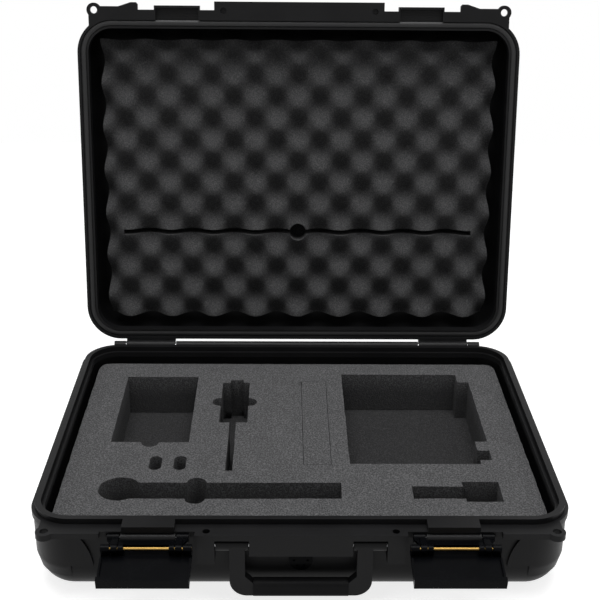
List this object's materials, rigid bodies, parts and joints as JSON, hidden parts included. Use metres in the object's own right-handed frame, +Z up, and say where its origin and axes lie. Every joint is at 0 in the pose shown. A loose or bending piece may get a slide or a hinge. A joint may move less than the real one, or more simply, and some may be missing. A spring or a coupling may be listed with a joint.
{
  "type": "utility case",
  "caption": "Moulded microphone case with a hinged, gasketed lid, front draw latches, a drop handle, cut foam pockets in the base and convoluted foam in the lid.",
  "frame": {"origin": "middle of the base's flat underside", "axes": "+Z up, +X to the right seen from the front, +Y from the handle towards the hinge"},
  "size_m": [0.508, 0.555, 0.4825],
  "materials": {
    "shell_plastic": "satin, fine moulded texture",
    "latch_plastic": "glossy",
    "base_foam_grey": "matte open-cell foam",
    "lid_foam_dark": "matte open-cell foam",
    "gasket_rubber": "smooth",
    "grip_rubber": "satin",
    "pin_steel": "satin",
    "rod_brass": "polished"
  },
  "bodies": {
    "base": {"base_shell": "shell_plastic", "base_pad": "lid_foam_dark", "base_foam": "base_foam_grey", "foam_plug": "base_foam_grey", "hinge_pin_left": "pin_steel", "hinge_pin_right": "pin_steel", "latch_pin_left": "pin_steel", "latch_pin_right": "pin_steel", "handle_pin_left": "pin_steel", "handle_pin_right": "pin_steel", "pressure_valve": "latch_plastic", "valve_seal": "gasket_rubber", "valve_nut": "latch_plastic"},
    "lid": {"lid_shell": "shell_plastic", "lid_gasket": "gasket_rubber", "lid_foam": "lid_foam_dark"},
    "latch_link_left": {"latch_link_left": "latch_plastic", "latch_rod_left": "rod_brass"},
    "latch_link_right": {"latch_link_right": "latch_plastic", "latch_rod_right": "rod_brass"},
    "latch_lever_left": {"latch_lever_left": "latch_plastic"},
    "latch_lever_right": {"latch_lever_right": "latch_plastic"},
    "handle": {"handle_frame": "shell_plastic", "handle_grip": "grip_rubber"}
  },
  "joints": [
    {"name": "lid_hinge", "type": "hinge", "parent": "base", "child": "lid", "pos_m": [0, 0.1985, 0.08], "axis": [1, 0, 0], "range_deg": [0, 98.4]},
    {"name": "latch_lever_left_swing", "type": "hinge", "parent": "latch_link_left", "child": "latch_lever_left", "pos_m": [-0.1395, -0.2155, 0.073], "axis": [-1, 0, 0], "range_deg": [0, 192]},
    {"name": "latch_link_left_swing", "type": "hinge", "parent": "base", "child": "latch_link_left", "pos_m": [-0.1395, -0.1985, 0.073], "axis": [1, 0, 0], "range_deg": [0, 90]},
    {"name": "latch_lever_right_swing", "type": "hinge", "parent": "latch_link_right", "child": "latch_lever_right", "pos_m": [0.1395, -0.2155, 0.073], "axis": [-1, 0, 0], "range_deg": [0, 192]},
    {"name": "latch_link_right_swing", "type": "hinge", "parent": "base", "child": "latch_link_right", "pos_m": [0.1395, -0.1985, 0.073], "axis": [1, 0, 0], "range_deg": [0, 90]},
    {"name": "handle_swing", "type": "hinge", "parent": "base", "child": "handle", "pos_m": [0, -0.199, 0.066], "axis": [-1, 0, 0], "range_deg": [0, 92]}
  ],
  "couplings": [
    {"joint": "latch_link_left_swing", "follows": "latch_lever_left_swing", "ratio": 0.46875},
    {"joint": "latch_link_right_swing", "follows": "latch_lever_right_swing", "ratio": 0.46875}
  ]
}
